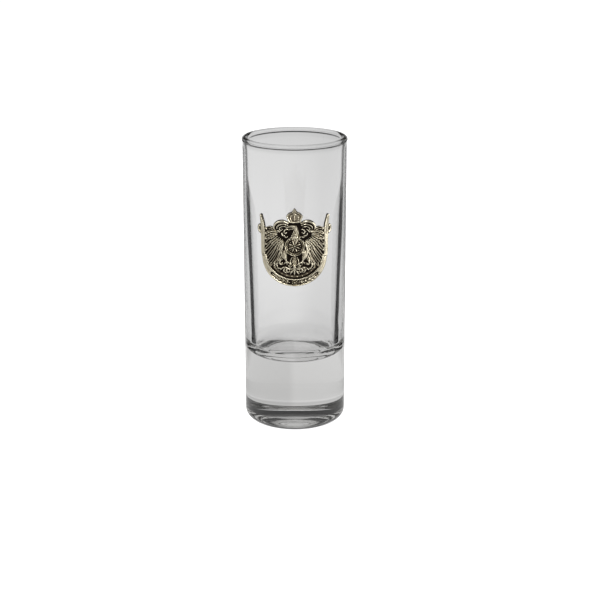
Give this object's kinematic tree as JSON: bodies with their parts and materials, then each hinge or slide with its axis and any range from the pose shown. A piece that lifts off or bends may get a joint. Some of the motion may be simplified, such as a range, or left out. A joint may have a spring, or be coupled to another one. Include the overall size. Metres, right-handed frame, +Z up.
{
  "type": "shot glass",
  "caption": "Tall straight clear shot glass with a thick solid base, a fire-polished rim and a curved antique-metal crest badge bonded to its wall.",
  "frame": {"origin": "on the glass's axis, in the plane it stands on", "axes": "+Z up along the glass's axis to the rim, -Y out of the front, through the middle of the badge, +X to the right as seen from the front"},
  "size_m": [0.0384, 0.0396, 0.1084],
  "materials": {
    "glass": "clear pressed glass, fire-polished",
    "adhesive": "clear cured adhesive",
    "badge_metal": "pale warm antique plating over a casting, dark in the recesses"
  },
  "bodies": {
    "root": {"glass_body": "glass", "adhesive_pad": "adhesive", "badge": "badge_metal"}
  },
  "joints": []
}
